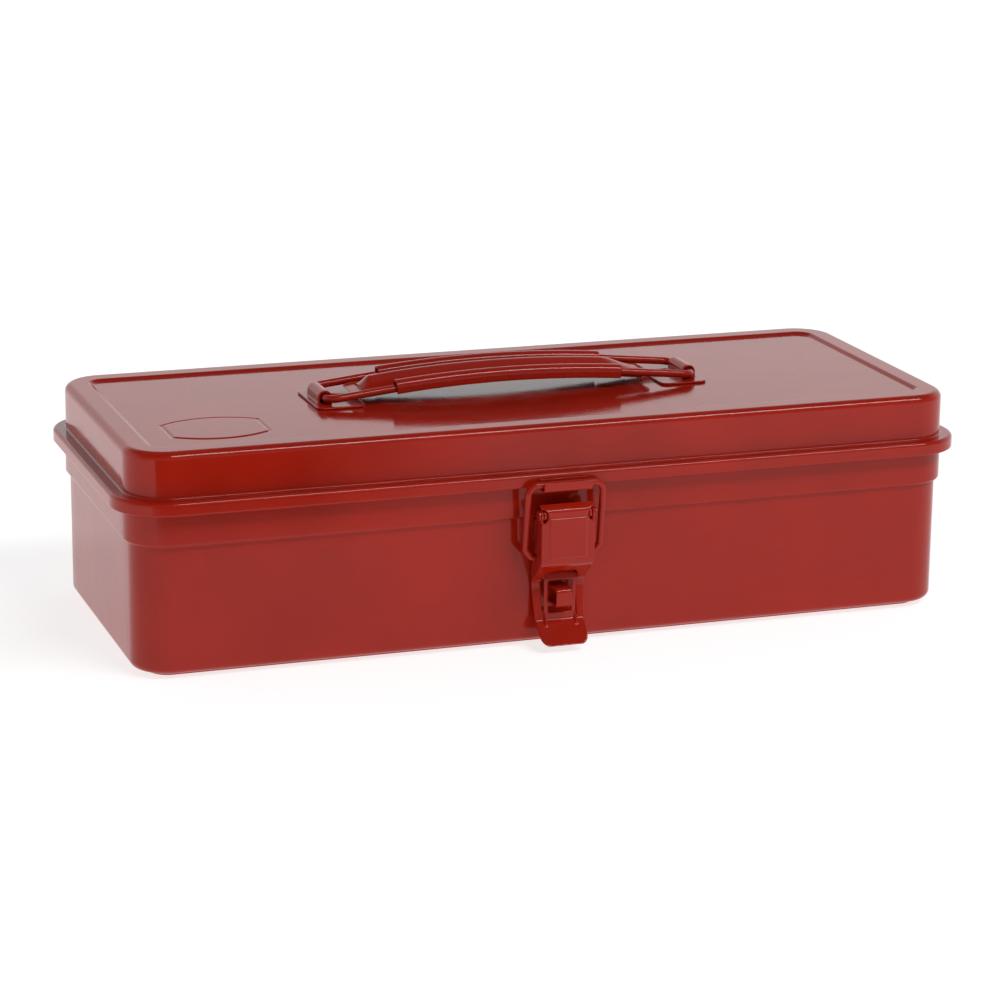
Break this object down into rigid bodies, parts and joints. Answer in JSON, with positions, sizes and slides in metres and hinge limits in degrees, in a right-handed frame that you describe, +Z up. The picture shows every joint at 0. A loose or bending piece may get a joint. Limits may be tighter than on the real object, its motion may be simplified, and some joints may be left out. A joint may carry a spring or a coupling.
{
  "type": "toolbox with tray",
  "caption": "Sheet-steel toolbox with a hinged lid, a flat lift-up carrying handle, an over-centre front latch with a padlock eye, and a lift-out inner tray.",
  "frame": {"origin": "middle of the flat base that the box stands on", "axes": "+X along the length to the right, -Y towards the front with the latch, +Z up"},
  "size_m": [0.333, 0.1497, 0.096],
  "materials": {
    "body_enamel": "gloss red enamel over drawn steel, slight orange peel",
    "lid_enamel": "gloss red enamel over drawn steel, slight orange peel",
    "fittings_enamel": "gloss red enamel over stamped steel fittings",
    "wire_enamel": "gloss red enamel over bent steel wire",
    "tray_enamel": "gloss red enamel over folded steel sheet",
    "plated_steel": "bright zinc plate"
  },
  "bodies": {
    "body": {"body_shell": "body_enamel", "hinge_body_leaf_left": "fittings_enamel", "hinge_body_leaf_right": "fittings_enamel", "hinge_pin_left": "fittings_enamel", "hinge_pin_right": "fittings_enamel", "hinge_body_rivets": "fittings_enamel", "latch_base": "fittings_enamel", "latch_base_rivets": "fittings_enamel", "latch_pivot_pin": "fittings_enamel", "padlock_staple": "fittings_enamel"},
    "lid": {"lid_shell": "lid_enamel", "hinge_lid_leaf_left": "fittings_enamel", "hinge_lid_leaf_right": "fittings_enamel", "hinge_lid_rivets": "fittings_enamel", "latch_catch": "fittings_enamel", "handle_bracket_left": "fittings_enamel", "handle_bracket_right": "fittings_enamel"},
    "grip": {"handle_grip": "fittings_enamel"},
    "wire_left": {"handle_wire_left": "wire_enamel"},
    "wire_right": {"handle_wire_right": "wire_enamel"},
    "lever": {"latch_lever": "fittings_enamel"},
    "bail": {"latch_bail": "wire_enamel"},
    "tray": {"tray_pan": "tray_enamel", "tray_divider": "tray_enamel", "tray_grip": "tray_enamel", "tray_rivets": "plated_steel"}
  },
  "joints": [
    {"name": "lid_hinge", "type": "hinge", "parent": "body", "child": "lid", "pos_m": [0, 0.072, 0.064], "axis": [-1, 0, 0], "range_deg": [0, 105]},
    {"name": "handle_lift", "type": "slide", "parent": "lid", "child": "grip", "axis": [0, 0, 1], "range_m": [0, 0.014]},
    {"name": "wire_left_swing", "type": "hinge", "parent": "lid", "child": "wire_left", "pos_m": [-0.074, 0, 0.0874], "axis": [0, -1, 0], "range_deg": [0, 18.5]},
    {"name": "wire_right_swing", "type": "hinge", "parent": "lid", "child": "wire_right", "pos_m": [0.074, 0, 0.0874], "axis": [0, 1, 0], "range_deg": [0, 18.5]},
    {"name": "latch_swing", "type": "hinge", "parent": "body", "child": "lever", "pos_m": [-0.0004, -0.0729, 0.0534], "axis": [-1, 0, 0], "range_deg": [0, 75]},
    {"name": "bail_swing", "type": "hinge", "parent": "lever", "child": "bail", "pos_m": [-0.0004, -0.0682, 0.0363], "axis": [1, 0, 0], "range_deg": [0, 31.6]},
    {"name": "tray_lift", "type": "slide", "parent": "body", "child": "tray", "axis": [0, 0, 1], "range_m": [0, 0.012]}
  ],
  "couplings": [
    {"joint": "wire_left_swing", "follows": "handle_lift", "rad_per_m": 22.7},
    {"joint": "wire_right_swing", "follows": "handle_lift", "rad_per_m": 22.7},
    {"joint": "bail_swing", "follows": "latch_swing", "ratio": 0.42}
  ]
}
